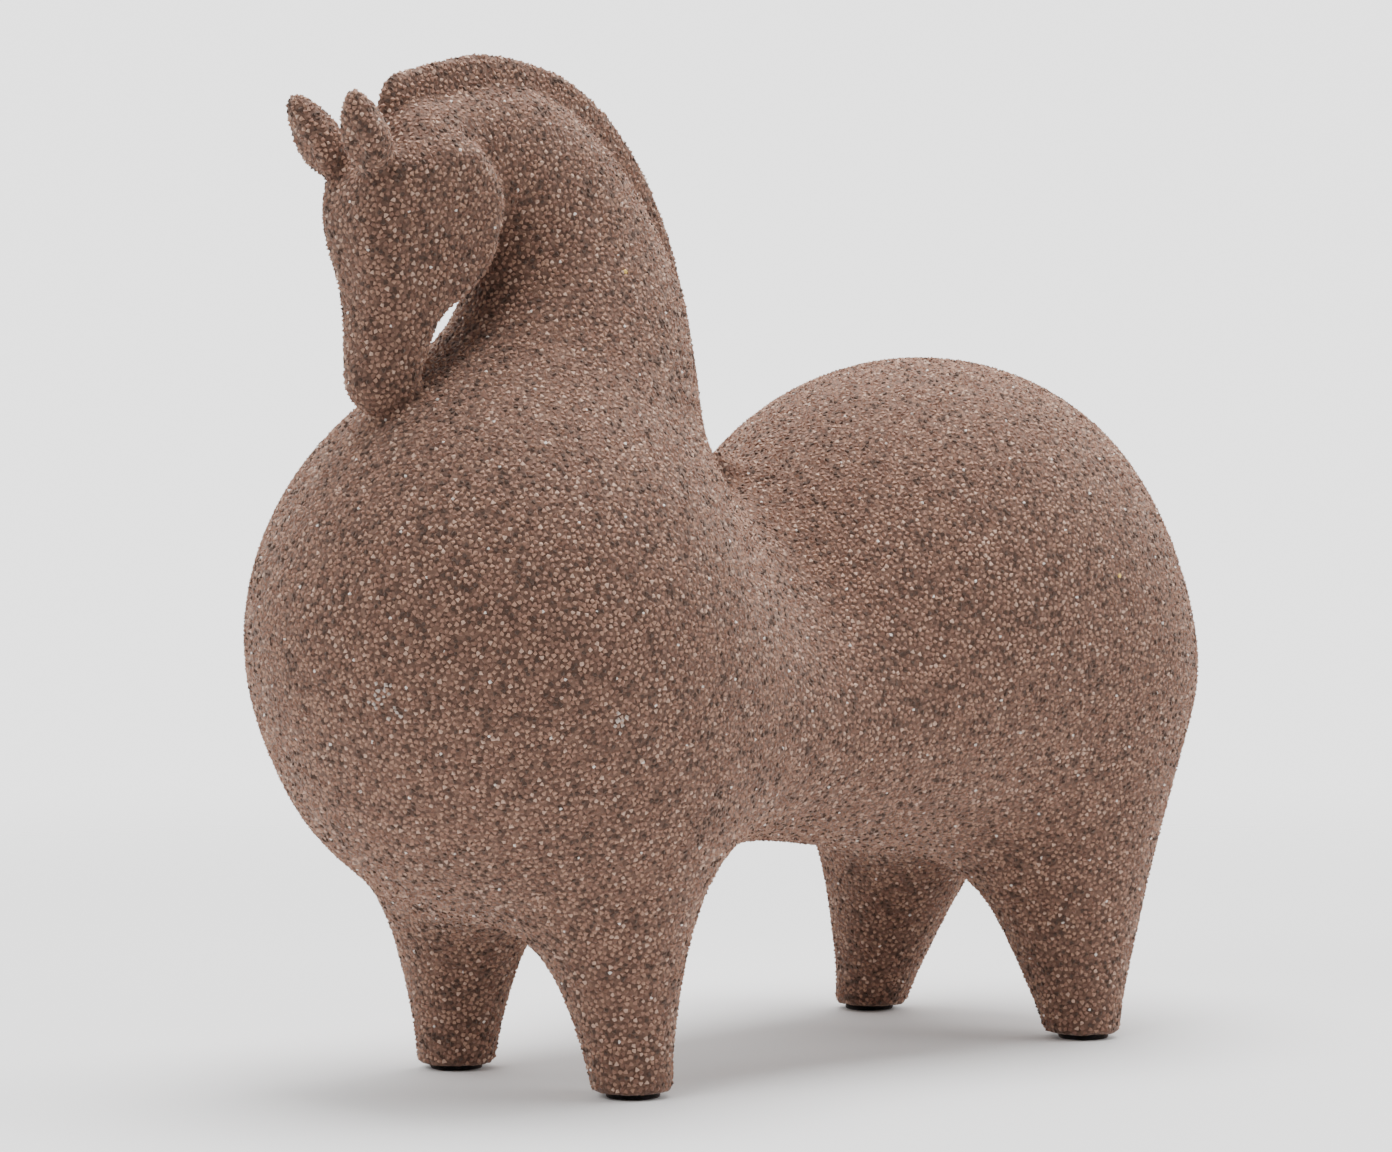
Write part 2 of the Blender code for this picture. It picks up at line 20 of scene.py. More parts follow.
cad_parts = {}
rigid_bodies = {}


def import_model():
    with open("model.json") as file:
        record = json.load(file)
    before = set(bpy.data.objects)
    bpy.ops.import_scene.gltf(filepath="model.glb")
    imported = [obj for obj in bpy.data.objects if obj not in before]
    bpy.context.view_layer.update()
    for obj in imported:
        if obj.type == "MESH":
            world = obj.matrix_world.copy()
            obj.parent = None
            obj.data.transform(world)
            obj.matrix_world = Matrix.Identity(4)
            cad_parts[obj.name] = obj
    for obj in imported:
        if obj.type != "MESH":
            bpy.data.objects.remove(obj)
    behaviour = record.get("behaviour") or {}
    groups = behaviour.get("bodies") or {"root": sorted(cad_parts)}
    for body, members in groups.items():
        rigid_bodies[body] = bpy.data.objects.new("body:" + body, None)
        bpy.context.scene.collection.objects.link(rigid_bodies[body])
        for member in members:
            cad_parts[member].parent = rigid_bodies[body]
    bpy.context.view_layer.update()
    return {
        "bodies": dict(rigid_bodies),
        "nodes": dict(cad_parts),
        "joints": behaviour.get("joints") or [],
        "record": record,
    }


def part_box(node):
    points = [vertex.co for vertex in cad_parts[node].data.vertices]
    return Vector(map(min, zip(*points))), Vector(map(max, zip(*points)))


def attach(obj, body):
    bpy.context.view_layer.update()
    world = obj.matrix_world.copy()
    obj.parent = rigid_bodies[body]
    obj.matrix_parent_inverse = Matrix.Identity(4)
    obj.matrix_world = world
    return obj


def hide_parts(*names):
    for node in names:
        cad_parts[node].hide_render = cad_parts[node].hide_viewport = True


LOG = logging.getLogger("horse_figure")

BODY = "root"
MILLIMETRE = 0.001

# The sRGB curve is a straight line up to its knee and a power above it.
SRGB_KNEE = 0.04045
SRGB_SLOPE = 12.92
SRGB_OFFSET = 0.055
SRGB_POWER = 2.4


class Tone(Enum):
    """The tones of grain in the coat."""

    PALE = "pale"
    LIGHT = "light"
    TAN = "tan"
    BROWN = "brown"
    DARK = "dark"


@dataclass(frozen=True)
class Dust:
    """How a dry, dusty surface takes the light: a weak mirror, and a pale bloom at its edges."""

    specular_level: float
    sheen_weight: float
    sheen_roughness: float
    sheen_tint: str


@dataclass(frozen=True)
class SandBed:
    """The finish of the skin under the grains.

    Each cell of grain_mm gets a random shade, moved a little by finer specks. The shades stand at
    shade_places on the scale from 0 to 1.
    """

    shades: tuple[str, str, str]
    shade_places: tuple[float, float, float]
    grain_mm: float
    specks_per_grain: float
    speck_share: float
    roughness: float
    relief_mm: float
    relief_strength: float


@dataclass(frozen=True)
class GrainFinish:
    """The finish of grains of one colour."""

    name: str
    colour: str
    roughness: float


@dataclass(frozen=True)
class GrainTone:
    """One tone of grain, and which share of all the grains has it."""

    tone: Tone
    colour: str
    share: float

    @property
    def finish(self) -> GrainFinish:
        """The finish of this tone's grains."""
        return GrainFinish(f"{self.tone.value}_grains", self.colour, GRAIN_ROUGHNESS)


@dataclass(frozen=True)
class GrainSpread:
    """How grains lie: their least spacing, their sizes, how deep their middles are sunk in the skin,
    and the height under which none lies."""

    spacing_mm: float
    smallest_mm: float
    largest_mm: float
    sunk_mm: float
    clear_below_mm: float
    seed: int


@dataclass(frozen=True)
class Patch:
    """A round patch of grains, which get rarer towards its edge by the thinning."""

    centre: tuple[float, float, float]
    radius: float
    thinning: float
    spread: GrainSpread


@dataclass(frozen=True)
class SingleGrains:
    """Grains of one finish that lie at known spots."""

    finish: GrainFinish
    size_mm: float
    spots: tuple[tuple[float, float, float], ...]


@dataclass(frozen=True)
class FeltFinish:
    """The finish of the felt pads: two shades, the relief of the pressed fibres, and the stray ones."""

    shades: tuple[str, str]
    shade_places: tuple[float, float]
    drift_mm: float
    roughness: float
    weave_mm: float
    relief_mm: float
    relief_strength: float
    fibre_count: int
    fibre_mm: float
    fibre_width_mm: float


# Every surface here is dry and dusty, so light spreads on it and its edges turn a little paler.
DUST = Dust(specular_level=0.25, sheen_weight=0.35, sheen_roughness=0.45, sheen_tint="#FFE9DA")

# Fine mineral grit bonded to the casting: the mottled ground between the grains. Its dark shades are partly
# painted shade, for the shade that falls in the gaps between the grains.
GRIT_WITH_PAINTED_GAP_SHADE = SandBed(
    shades=("#503C34", "#674E43", "#7D6052"),
    shade_places=(0.15, 0.5, 0.85),
    grain_mm=0.80,
    specks_per_grain=2.5,
    speck_share=0.3,
    roughness=0.95,
    relief_mm=0.30,
    relief_strength=0.8,
)

# Coarse sand bonded on the grit, in natural tones. From a step away they mix to a warm speckled brown.
GRAIN_ROUGHNESS = 0.85
GRAIN_TONES = (
    GrainTone(Tone.PALE, "#C0A08D", 0.08),
    GrainTone(Tone.LIGHT, "#A5816D", 0.29),
    GrainTone(Tone.TAN, "#957160", 0.29),
    GrainTone(Tone.BROWN, "#7F5E50", 0.20),
    GrainTone(Tone.DARK, "#4A3931", 0.14),
)
GRAIN_SPREAD = GrainSpread(
    spacing_mm=1.10, smallest_mm=1.25, largest_mm=1.80, sunk_mm=0.20, clear_below_mm=2.2, seed=11
)

# Painted glints: rare near-white grains, whose pale colour stands in for light glinting off the sand.
PAINTED_GLINT = GrainFinish("painted_glint_grain", "#EFE6DE", 0.5)
PAINTED_GLINT_SPREAD = GrainSpread(
    spacing_mm=12.0, smallest_mm=0.80, largest_mm=1.20, sunk_mm=0.0, clear_below_mm=2.2, seed=71
)

# Sand that something has rubbed. Its crushed tops are pale and chalky.
SCUFFED = GrainFinish("scuffed_grain", "#BFB0A6", 0.8)
SCUFF_SPREAD = GrainSpread(
    spacing_mm=1.15, smallest_mm=0.8, largest_mm=1.7, sunk_mm=-0.05, clear_below_mm=0.0, seed=5
)
SCUFFS = (
    Patch((0.0226, -0.1323, 0.0972), 0.0080, 1.30, SCUFF_SPREAD),
    Patch((0.0545, -0.0911, 0.0923), 0.0030, 1.00, replace(SCUFF_SPREAD, spacing_mm=1.10, seed=6)),
)

# Single grains of amber glass, which are smooth and gleam, and whose bright yellow is partly a painted
# glint; and single grains of black slag.
AMBER_WITH_PAINTED_GLINT = SingleGrains(
    GrainFinish("amber_grains_with_painted_glint", "#F2CC66", 0.25), 1.3, ((0.0199, -0.0559, 0.1967), (0.0598, 0.0754, 0.1208))
)
BLACK = SingleGrains(GrainFinish("black_grains", "#17110F", 0.90), 1.2, ((0.0034, -0.1226, 0.2192),))

# Pressed black wool felt. It is dull all over, and stray fibres soften its rim.
FELT = FeltFinish(
    shades=("#131214", "#242225"),
    shade_places=(0.35, 0.65),
    drift_mm=1.2,
    roughness=0.97,
    weave_mm=0.25,
    relief_mm=0.15,
    relief_strength=0.7,
    fibre_count=900,
    fibre_mm=0.55,
    fibre_width_mm=0.05,
)


def linear(colour: str) -> tuple[float, float, float, float]:
    """Turns an sRGB hex colour into linear RGBA.

    Args:
        colour: The colour as #RRGGBB.

    Returns:
        Linear red, green and blue, and an alpha of 1.
    """
    channels = [int(colour[start : start + 2], 16) / 255.0 for start in (1, 3, 5)]
    red, green, blue = (
        value / SRGB_SLOPE
        if value <= SRGB_KNEE
        else ((value + SRGB_OFFSET) / (1.0 + SRGB_OFFSET)) ** SRGB_POWER
        for value in channels
    )
    return (red, green, blue, 1.0)


def add_node(
    tree: bpy.types.NodeTree,
    kind: str,
    settings: dict[str, Any] | None = None,
    values: dict[str | int, Any] | None = None,
    links: dict[str | int, bpy.types.NodeSocket] | None = None,
) -> bpy.types.Node:
    """Adds a node, sets it and links its inputs.

    Args:
        tree: The tree that gets the node.
        kind: The node's type name.
        settings: Properties of the node.
        values: Input values, by socket name or index.
        links: Sockets that feed its inputs, by socket name or index.

    Returns:
        The new node.
    """
    node = tree.nodes.new(kind)
    for name, value in (settings or {}).items():
        setattr(node, name, value)
    for key, value in (values or {}).items():
        node.inputs[key].default_value = value
    for key, source in (links or {}).items():
        tree.links.new(source, node.inputs[key])
    return node


def new_tree(name: str, inputs: dict[str, str], result: str) -> bpy.types.NodeTree:
    """Starts a Geometry Nodes tree with named inputs and one output.

    Args:
        name: The tree's name.
        inputs: The kind of each input's value, such as Float, by the input's name.
        result: The name of the output, which is a geometry.

    Returns:
        The new tree, with no node in it.
    """
    tree = bpy.data.node_groups.new(name, "GeometryNodeTree")
    for label, kind in inputs.items():
        tree.interface.new_socket(label, in_out="INPUT", socket_type=f"NodeSocket{kind}")
    tree.interface.new_socket(result, in_out="OUTPUT", socket_type="NodeSocketGeometry")
    return tree


def random_vector(
    tree: bpy.types.NodeTree, values: dict[str | int, Any], links: dict[str | int, bpy.types.NodeSocket]
) -> bpy.types.NodeSocket:
    """A random vector for each point. Input 0 is its low end, and input 1 its high end.

    Args:
        tree: The tree that gets the node.
        values: The ends that are fixed.
        links: The ends and the seed that other sockets give.

    Returns:
        The socket of the vector.
    """
    settings = {"data_type": "FLOAT_VECTOR"}
    return add_node(tree, "FunctionNodeRandomValue", settings, values, links).outputs["Value"]


def random_turn(tree: bpy.types.NodeTree, seed: bpy.types.NodeSocket) -> bpy.types.NodeSocket:
    """A random turn about all three axes for each point."""
    ends = {0: (0.0, 0.0, 0.0), 1: (math.tau, math.tau, math.tau)}
    return random_vector(tree, ends, {"Seed": seed})


def realized(
    tree: bpy.types.NodeTree, points: bpy.types.NodeSocket, links: dict[str | int, bpy.types.NodeSocket]
) -> bpy.types.NodeSocket:
    """Puts a copy of a mesh on each point and makes the copies plain mesh.

    Args:
        tree: The tree that gets the nodes.
        points: The points.
        links: The mesh as Instance, and the copies' Rotation and Scale where they vary.

    Returns:
        The socket of the mesh.
    """
    laid = add_node(tree, "GeometryNodeInstanceOnPoints", links={"Points": points, **links})
    real = add_node(tree, "GeometryNodeRealizeInstances", links={"Geometry": laid.outputs["Instances"]})
    return real.outputs["Geometry"]


def end_tree(
    tree: bpy.types.NodeTree, geometry: bpy.types.NodeSocket, material: bpy.types.NodeSocket, result: str
) -> None:
    """Gives a tree's geometry its material and sends it out.

    Args:
        tree: The tree.
        geometry: What the tree makes.
        material: The socket of the material.
        result: The name of the tree's output.
    """
    links = {"Geometry": geometry, "Material": material}
    painted = add_node(tree, "GeometryNodeSetMaterial", links=links)
    add_node(tree, "NodeGroupOutput", links={result: painted.outputs["Geometry"]})


def run_tree(work: bpy.types.Object, tree: bpy.types.NodeTree, inputs: dict[str, Any]) -> None:
    """Puts a Geometry Nodes tree on an object.

    Args:
        work: The object whose mesh is the tree's first input.
        tree: The tree.
        inputs: The values of the tree's other inputs, by name.
    """
    modifier = work.modifiers.new(tree.name, "NODES")
    modifier.node_group = tree
    identifiers = {item.name: item.identifier for item in tree.interface.items_tree}
    for name, value in inputs.items():
        modifier[identifiers[name]] = value


def new_object(name: str, mesh: bpy.types.Mesh) -> bpy.types.Object:
    """Links a new object to the scene, at the origin.

    Args:
        name: The object's name.
        mesh: Its mesh.

    Returns:
        The object.
    """
    made = bpy.data.objects.new(name, mesh)
    bpy.context.scene.collection.objects.link(made)
    return made


def mesh_from(work: bmesh.types.BMesh, name: str) -> bpy.types.Mesh:
    """Turns a finished bmesh into a mesh and frees it.

    Args:
        work: The bmesh.
        name: The mesh's name.

    Returns:
        The mesh.
    """
    mesh = bpy.data.meshes.new(name)
    work.to_mesh(mesh)
    work.free()
    return mesh


def baked(source: bpy.types.Object, name: str) -> bpy.types.Object:
    """Turns what an object evaluates to into a plain mesh object, and removes the first.

    Args:
        source: The object with its modifiers.
        name: The name of the plain object.

    Returns:
        The plain object.
    """
    graph = bpy.context.evaluated_depsgraph_get()
    mesh = bpy.data.meshes.new_from_object(source.evaluated_get(graph))
    mesh.name = name
    bpy.data.objects.remove(source, do_unlink=True)
    return new_object(name, mesh)


def triangle_count(made: bpy.types.Object) -> int:
    """How many triangles a mesh object has."""
    return sum(len(face.vertices) - 2 for face in made.data.polygons)


def join_the_part(made: bpy.types.Object, slot: str, *replaced: str) -> None:
    """Makes a piece ride on the part's body and stand for CAD nodes.

    Args:
        made: The piece.
        slot: Not used.
        replaced: The names of the nodes that it stands for.
    """
    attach(made, BODY)
    if replaced:
        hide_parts(*replaced)
    LOG.info("%s: %d triangles", made.name, triangle_count(made))


class Materials:
    """Builds the procedural materials."""

    @staticmethod
    def _start(name: str, roughness: float) -> tuple[bpy.types.Material, bpy.types.NodeTree, bpy.types.Node]:
        """Starts a rough, dusty material.

        Args:
            name: The material's name.
            roughness: The shader's roughness.

        Returns:
            The material, its tree and its shader.
        """
        material = bpy.data.materials.new(name)
        material.use_nodes = True
        tree = material.node_tree
        shader = tree.nodes["Principled BSDF"]
        shader.inputs["Roughness"].default_value = roughness
        shader.inputs["Specular IOR Level"].default_value = DUST.specular_level
        shader.inputs["Sheen Weight"].default_value = DUST.sheen_weight
        shader.inputs["Sheen Roughness"].default_value = DUST.sheen_roughness
        shader.inputs["Sheen Tint"].default_value = linear(DUST.sheen_tint)
        return material, tree, shader

    @staticmethod
    def _shade(shader: bpy.types.Node, fac: bpy.types.NodeSocket, stops: list[tuple[float, str]]) -> None:
        """Colours a shader by a pattern.

        Args:
            shader: The shader.
            fac: The pattern, from 0 to 1.
            stops: The shades with their places on that scale: the lowest, the highest, then any other.
        """
        tree = shader.id_data
        ramp = add_node(tree, "ShaderNodeValToRGB", links={"Fac": fac})
        elements = ramp.color_ramp.elements
        for index, (place, shade) in enumerate(stops):
            if index < len(elements):
                elements[index].position = place
                elements[index].color = linear(shade)
            else:
                elements.new(place).color = linear(shade)
        tree.links.new(ramp.outputs["Color"], shader.inputs["Base Color"])

    @staticmethod
    def _raise(
        shader: bpy.types.Node, height: bpy.types.NodeSocket, depth_mm: float, strength: float, invert: bool
    ) -> None:
        """Gives a shader the relief of a pattern.

        Args:
            shader: The shader.
            height: The pattern.
            depth_mm: How deep it is.
            strength: How much of it shows, from 0 to 1.
            invert: Whether its low values stand out.
        """
        tree = shader.id_data
        bump = add_node(
            tree,
            "ShaderNodeBump",
            settings={"invert": invert},
            values={"Strength": strength, "Distance": depth_mm * MILLIMETRE},
            links={"Height": height},
        )
        tree.links.new(bump.outputs["Normal"], shader.inputs["Normal"])

    @classmethod
    def plain(cls, finish: GrainFinish) -> bpy.types.Material:
        """One colour all over.

        Args:
            finish: The name, the colour and the roughness.

        Returns:
            The material.
        """
        material, _, shader = cls._start(finish.name, finish.roughness)
        shader.inputs["Base Color"].default_value = linear(finish.colour)
        return material

    @classmethod
    def grit_with_painted_gap_shade(cls, finish: SandBed) -> bpy.types.Material:
        """Grit set in the coat: a random shade for each grain, with the grains as relief.

        Args:
            finish: The shades, the grain size and the relief.

        Returns:
            The material.
        """
        material, tree, shader = cls._start("grit_with_painted_gap_shade", finish.roughness)
        place = add_node(tree, "ShaderNodeTexCoord").outputs["Object"]
        scale = 1.0 / (finish.grain_mm * MILLIMETRE)
        cells = add_node(
            tree,
            "ShaderNodeTexVoronoi",
            values={"Scale": scale, "Randomness": 1.0},
            links={"Vector": place},
        )
        specks = add_node(
            tree,
            "ShaderNodeTexNoise",
            values={"Scale": finish.specks_per_grain * scale, "Detail": 2.0, "Roughness": 0.6},
            links={"Vector": place},
        )
        parted = add_node(tree, "ShaderNodeSeparateColor", links={"Color": cells.outputs["Color"]})
        shade = add_node(
            tree,
            "ShaderNodeMix",
            settings={"data_type": "FLOAT"},
            values={"Factor": finish.speck_share},
            links={"A": parted.outputs["Red"], "B": specks.outputs["Fac"]},
        )
        low, middle, high = zip(finish.shade_places, finish.shades)
        cls._shade(shader, shade.outputs["Result"], [low, high, middle])
        cls._raise(shader, cells.outputs["Distance"], finish.relief_mm, finish.relief_strength, True)
        return material

    @classmethod
    def felt(cls, finish: FeltFinish) -> bpy.types.Material:
        """Pressed felt: a dark colour that drifts between two shades, with a fine fibrous relief.

        Args:
            finish: The shades and the relief.

        Returns:
            The material.
        """
        material, tree, shader = cls._start("black_felt", finish.roughness)
        place = add_node(tree, "ShaderNodeTexCoord").outputs["Object"]
        clouds = add_node(
            tree,
            "ShaderNodeTexNoise",
            values={"Scale": 1.0 / (finish.drift_mm * MILLIMETRE), "Detail": 2.0},
            links={"Vector": place},
        )
        fibres = add_node(
            tree,
            "ShaderNodeTexNoise",
            values={"Scale": 1.0 / (finish.weave_mm * MILLIMETRE), "Detail": 6.0, "Distortion": 2.0},
            links={"Vector": place},
        )
        cls._shade(shader, clouds.outputs["Fac"], list(zip(finish.shade_places, finish.shades)))
        cls._raise(shader, fibres.outputs["Fac"], finish.relief_mm, finish.relief_strength, False)
        return material


@dataclass
class Skin:
    """The casting's fine skin, drawn smooth over the facets of its CAD solid."""

    node: str
    levels: int = 1
    weld_mm: float = 0.01

    def build(self, frame: dict[str, Any]) -> bpy.types.Object:
        """Makes the skin from the CAD node's mesh.


        Returns:
            A closed mesh object that stands for the node.
        """
        rough = new_object("skin_rough", frame["nodes"][self.node].data.copy())
        self._weld(rough)
        finer = rough.modifiers.new("Finer", "SUBSURF")
        finer.levels = self.levels
        finer.render_levels = self.levels
        made = baked(rough, "horse_skin")
        made.data.materials.clear()
        # The grit of the coat, whose dark shades partly paint the shade in the gaps between the grains.
        made.data.materials.append(Materials.grit_with_painted_gap_shade(GRIT_WITH_PAINTED_GAP_SHADE))
        made.data.shade_smooth()
        return made

    def _weld(self, rough: bpy.types.Object) -> None:
        """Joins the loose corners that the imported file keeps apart.

        Args:
            rough: The copy of the CAD node.
        """
        work = bmesh.new()
        work.from_mesh(rough.data)
        bmesh.ops.remove_doubles(work, verts=work.verts, dist=self.weld_mm * MILLIMETRE)
        work.to_mesh(rough.data)
        work.free()


class ScatterTree:
    """A Geometry Nodes tree that lays small turned grains evenly on a surface."""

    # How many points are tried on a square of the least spacing. So many leave no bare spots.
    CROWDING = 9.0
    # A reach that takes in the whole figure.
    EVERYWHERE = 1000.0
    # With four segments and two rings, a sphere is an octahedron: a small stone with flat faces.
    SEGMENTS = 4
    RINGS = 2

    def __init__(self) -> None:
        """Builds the tree with its named inputs."""
        numbers = (
            "Spacing", "Smallest", "Largest", "Sunk", "Clear Below", "From", "To", "Reach", "Thinning",
        )
        inputs = {
            "Surface": "Geometry",
            **dict.fromkeys(numbers, "Float"),
            "Centre": "Vector",
            "Seed": "Int",
            "Material": "Material",
        }
        self.tree = new_tree("scatter_grains", inputs, "Grains")
        self._wire()

    def _maths(
        self, operation: str, first: bpy.types.NodeSocket | float, second: bpy.types.NodeSocket | float
    ) -> bpy.types.NodeSocket:
        """The result of a two-input Math node.

        Args:
            operation: The node's operation.
            first: A socket or a number.
            second: A socket or a number.

        Returns:
            The socket of the result.
        """
        values: dict[str | int, Any] = {}
        links: dict[str | int, bpy.types.NodeSocket] = {}
        for index, given in enumerate((first, second)):
            if isinstance(given, bpy.types.NodeSocket):
                links[index] = given
            else:
                values[index] = given
        made = add_node(self.tree, "ShaderNodeMath", {"operation": operation}, values, links)
        return made.outputs["Value"]

    def _chance(self, seed: bpy.types.NodeSocket) -> bpy.types.NodeSocket:
        """A random number from 0 to 1 for each point.

        Args:
            seed: The socket of the seed.

        Returns:
            The socket of the number.
        """
        made = add_node(
            self.tree,
            "FunctionNodeRandomValue",
            settings={"data_type": "FLOAT"},
            values={2: 0.0, 3: 1.0},
            links={"Seed": seed},
        )
        return made.outputs[1]

    def _each_way(self, number: bpy.types.NodeSocket) -> bpy.types.NodeSocket:
        """A vector with the same number in all three directions."""
        axes = {"X": number, "Y": number, "Z": number}
        return add_node(self.tree, "ShaderNodeCombineXYZ", links=axes).outputs["Vector"]

    def _wire(self) -> None:
        """Scatters points, keeps some of them, and lays a turned and scaled grain on each."""
        tree = self.tree
        given = add_node(tree, "NodeGroupInput").outputs
        crowding = self._maths("DIVIDE", self.CROWDING, self._maths("POWER", given["Spacing"], 2.0))
        points = add_node(
            tree,
            "GeometryNodeDistributePointsOnFaces",
            settings={"distribute_method": "POISSON"},
            links={
                "Mesh": given["Surface"],
                "Distance Min": given["Spacing"],
                "Density Max": crowding,
                "Seed": given["Seed"],
            },
        )
        kept = add_node(
            tree,
            "GeometryNodeDeleteGeometry",
            settings={"domain": "POINT"},
            links={"Geometry": points.outputs["Points"], "Selection": self._left_out(given)},
        )
        inward = add_node(
            tree,
            "ShaderNodeVectorMath",
            settings={"operation": "SCALE"},
            links={0: points.outputs["Normal"], "Scale": self._maths("MULTIPLY", given["Sunk"], -1.0)},
        )
        sunk = add_node(
            tree,
            "GeometryNodeSetPosition",
            links={"Geometry": kept.outputs["Geometry"], "Offset": inward.outputs["Vector"]},
        )
        grain = add_node(
            tree,
            "GeometryNodeMeshUVSphere",
            values={"Segments": self.SEGMENTS, "Rings": self.RINGS, "Radius": 0.5},
        )
        sizes = {
            0: self._each_way(given["Smallest"]),
            1: self._each_way(given["Largest"]),
            "Seed": given["Seed"],
        }
        laid = {
            "Instance": grain.outputs["Mesh"],
            "Rotation": random_turn(tree, given["Seed"]),
            "Scale": random_vector(tree, {}, sizes),
        }
        grains = realized(tree, sunk.outputs["Geometry"], laid)
        end_tree(tree, grains, given["Material"], "Grains")

    def _left_out(self, given: bpy.types.NodeOutputs) -> bpy.types.NodeSocket:
        """Which points get no grain: those of other tones, of the soles and past the reach.

        Args:
            given: The tree's inputs.

        Returns:
            The socket of the choice.
        """
        position = add_node(self.tree, "GeometryNodeInputPosition").outputs["Position"]
        height = add_node(self.tree, "ShaderNodeSeparateXYZ", links={"Vector": position}).outputs["Z"]
        away = add_node(
            self.tree,
            "ShaderNodeVectorMath",
            settings={"operation": "DISTANCE"},
            links={0: position, 1: given["Centre"]},
        ).outputs["Value"]
        tone = self._chance(given["Seed"])
        reached = self._maths("DIVIDE", away, given["Reach"])
        thinned = self._maths("MULTIPLY", reached, given["Thinning"])
        other_seed = self._maths("ADD", given["Seed"], 1.0)
        tests = (
            self._maths("LESS_THAN", tone, given["From"]),
            self._maths("GREATER_THAN", tone, given["To"]),
            self._maths("LESS_THAN", height, given["Clear Below"]),
            self._maths("GREATER_THAN", reached, 1.0),
            self._maths("LESS_THAN", self._chance(other_seed), thinned),
        )
        total = tests[0]
        for test in tests[1:]:
            total = self._maths("MAXIMUM", total, test)
        return total

    def run(
        self,
        surface: bpy.types.Object,
        name: str,
        spread: GrainSpread,
        material: bpy.types.Material,
        tones: tuple[float, float] = (0.0, 1.0),
        patch: Patch | None = None,
    ) -> bpy.types.Object:
        """Runs the tree on a copy of a surface.

        Args:
            surface: The mesh object that carries the grains.
            name: The new object's name.
            spread: How the grains lie.
            material: The grains' material.
            tones: The part of the scatter that is kept, from 0 to 1.
            patch: The patch that the grains keep to, or None for the whole surface.

        Returns:
            The grains as a plain mesh object.
        """
        work = new_object(f"{name}_work", surface.data.copy())
        inputs = {
            "Spacing": spread.spacing_mm * MILLIMETRE,
            "Smallest": spread.smallest_mm * MILLIMETRE,
            "Largest": spread.largest_mm * MILLIMETRE,
            "Sunk": spread.sunk_mm * MILLIMETRE,
            "Clear Below": spread.clear_below_mm * MILLIMETRE,
            "From": tones[0],
            "To": tones[1],
            "Reach": patch.radius if patch else self.EVERYWHERE,
            "Thinning": patch.thinning if patch else 0.0,
            "Centre": patch.centre if patch else (0.0, 0.0, 0.0),
            "Seed": spread.seed,
            "Material": material,
        }
        run_tree(work, self.tree, inputs)
        made = baked(work, name)
        made.data.shade_flat()
        return made


@dataclass
class SandCoat:
    """The grains on the skin."""

    skin: bpy.types.Object
    tree: ScatterTree

    def build(self) -> list[bpy.types.Object]:
        """Lays the tones of grain, the near-white grains of painted glint, the pale scuffs and the single
        grains.

        Returns:
            One plain mesh object for each kind of grain.
        """
        made = self._toned()
        # The painted glints: near-white grains whose pale colour stands in for glints of light.
        made.append(self.tree.run(self.skin, "painted_glint_grains", PAINTED_GLINT_SPREAD, Materials.plain(PAINTED_GLINT)))
        made.extend(self._scuffed())
        # The amber grains' bright yellow is partly a painted glint; the black grains keep their own colour.
        made.extend(self._single(grains) for grains in (AMBER_WITH_PAINTED_GLINT, BLACK))
        return made

    def _toned(self) -> list[bpy.types.Object]:
        """The grains of the coat, which share one scatter, each tone a band of it.

        Returns:
            One object for each tone.
        """
        made = []
        start = 0.0
        for tone in GRAIN_TONES:
            material = Materials.plain(tone.finish)
            band = (start, start + tone.share)
            made.append(self.tree.run(self.skin, tone.finish.name, GRAIN_SPREAD, material, band))
            start += tone.share
        return made

    def _scuffed(self) -> list[bpy.types.Object]:
        """The grains of the pale scuffs, whose centres are moved onto the skin.

        Returns:
            One object for each scuff.
        """
        made = []
        rubbed = Materials.plain(SCUFFED)
        for number, scuff in enumerate(SCUFFS, start=1):
            _, place, _, _ = self.skin.closest_point_on_mesh(scuff.centre)
            patch = replace(scuff, centre=tuple(place))
            name = f"scuff_grains_{number}"
            made.append(self.tree.run(self.skin, name, patch.spread, rubbed, patch=patch))
        return made

    def _single(self, grains: SingleGrains) -> bpy.types.Object:
        """Single grains, each sunk to its middle in the skin.

        Args:
            grains: Their finish, size and spots.

        Returns:
            The grains as a plain mesh object.
        """
        work = bmesh.new()
        for spot in grains.spots:
            _, place, normal, _ = self.skin.closest_point_on_mesh(spot)
            turn = Vector(normal).to_track_quat("Z", "Y").to_matrix().to_4x4()
            bmesh.ops.create_icosphere(
                work,
                subdivisions=1,
                radius=0.5 * grains.size_mm * MILLIMETRE,
                matrix=Matrix.Translation(place) @ turn,
            )
        mesh = mesh_from(work, grains.finish.name)
        mesh.materials.append(Materials.plain(grains.finish))
        return new_object(grains.finish.name, mesh)


